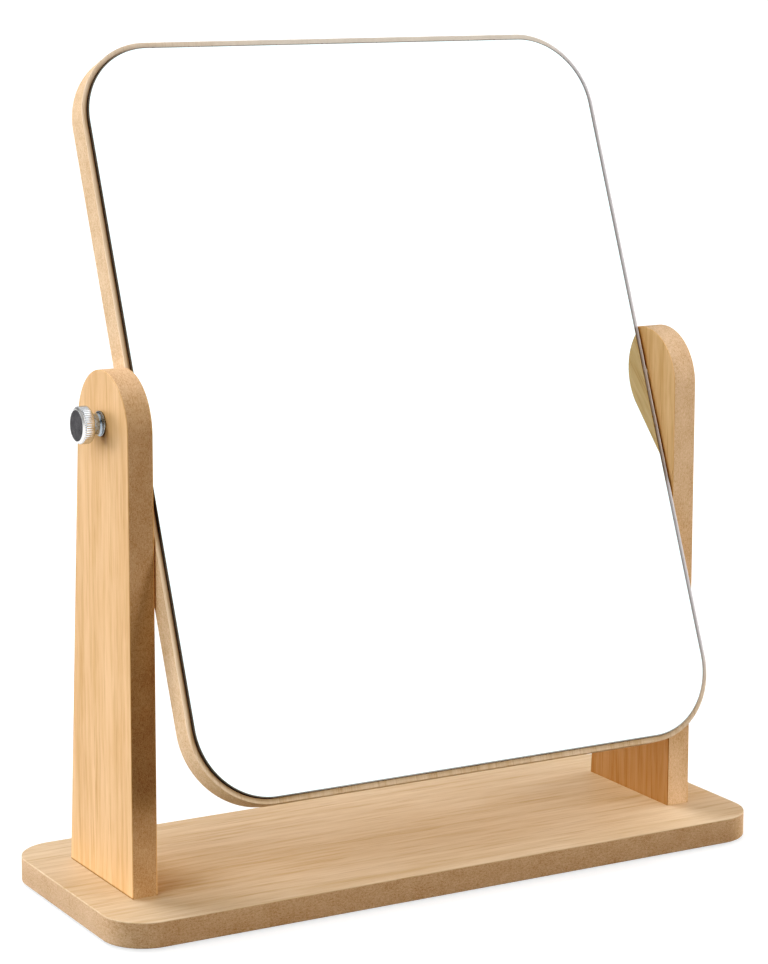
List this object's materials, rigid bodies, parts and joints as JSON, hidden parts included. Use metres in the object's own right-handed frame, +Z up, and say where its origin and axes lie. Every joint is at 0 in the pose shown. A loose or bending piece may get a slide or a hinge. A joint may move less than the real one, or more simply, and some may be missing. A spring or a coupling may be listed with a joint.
{
  "type": "vanity mirror",
  "caption": "Free-standing vanity mirror: a rounded rectangular mirror panel tilts between wooden posts on a flat base, held by knurled thumbscrews.",
  "frame": {"origin": "on the table, under the middle of the base board, on the underside of the felt sheet", "axes": "+Z up, -Y the front that the mirror faces, +X to the right as seen from the front"},
  "size_m": [0.3, 0.1228, 0.3401],
  "materials": {
    "fibreboard": "raw cut edge of fibreboard, matte",
    "veneer": "light wood veneer, satin clear coat",
    "felt": "dark brown felt",
    "screw_steel": "zinc plated",
    "mirror_glass": "silvered float glass with a seamed edge",
    "tape": "white foam tape",
    "brass": "turned brass",
    "nylon": "natural nylon",
    "nickel": "polished nickel plate, straight knurl"
  },
  "bodies": {
    "stand": {"base_board": "fibreboard", "base_top_veneer": "veneer", "base_felt": "felt", "post_screws": "screw_steel", "left_post": "fibreboard", "left_post_outer_veneer": "veneer", "left_post_inner_veneer": "veneer", "right_post": "fibreboard", "right_post_outer_veneer": "veneer", "right_post_inner_veneer": "veneer"},
    "mirror": {"mirror_board": "fibreboard", "mirror_rim_veneer": "veneer", "mirror_back_veneer": "veneer", "mirror_glass": "mirror_glass", "mounting_tape": "tape", "left_insert": "brass", "right_insert": "brass", "left_friction_washer": "nylon", "right_friction_washer": "nylon"},
    "left_clamp": {"left_collar": "nickel"},
    "left_screw": {"left_thumbscrew": "nickel"},
    "right_clamp": {"right_collar": "nickel"},
    "right_screw": {"right_thumbscrew": "nickel"}
  },
  "joints": [
    {"name": "mirror_tilt", "type": "hinge", "parent": "stand", "child": "mirror", "pos_m": [0, -0.00345, 0.1962], "axis": [1, 0, 0], "continuous": true},
    {"name": "left_clamp_slide", "type": "slide", "parent": "mirror", "child": "left_clamp", "axis": [-1, 0, 0], "range_m": [0, 0.0056]},
    {"name": "left_screw_turn", "type": "hinge", "parent": "left_clamp", "child": "left_screw", "pos_m": [-0.14, -0.00345, 0.1962], "axis": [-1, 0, 0], "range_deg": [0, 2880]},
    {"name": "right_clamp_slide", "type": "slide", "parent": "mirror", "child": "right_clamp", "axis": [1, 0, 0], "range_m": [0, 0.0056]},
    {"name": "right_screw_turn", "type": "hinge", "parent": "right_clamp", "child": "right_screw", "pos_m": [0.14, -0.00345, 0.1962], "axis": [1, 0, 0], "range_deg": [0, 2880]}
  ],
  "couplings": [
    {"joint": "left_clamp_slide", "follows": "left_screw_turn", "m_per_rad": 0.00011141},
    {"joint": "right_clamp_slide", "follows": "right_screw_turn", "m_per_rad": 0.00011141}
  ]
}
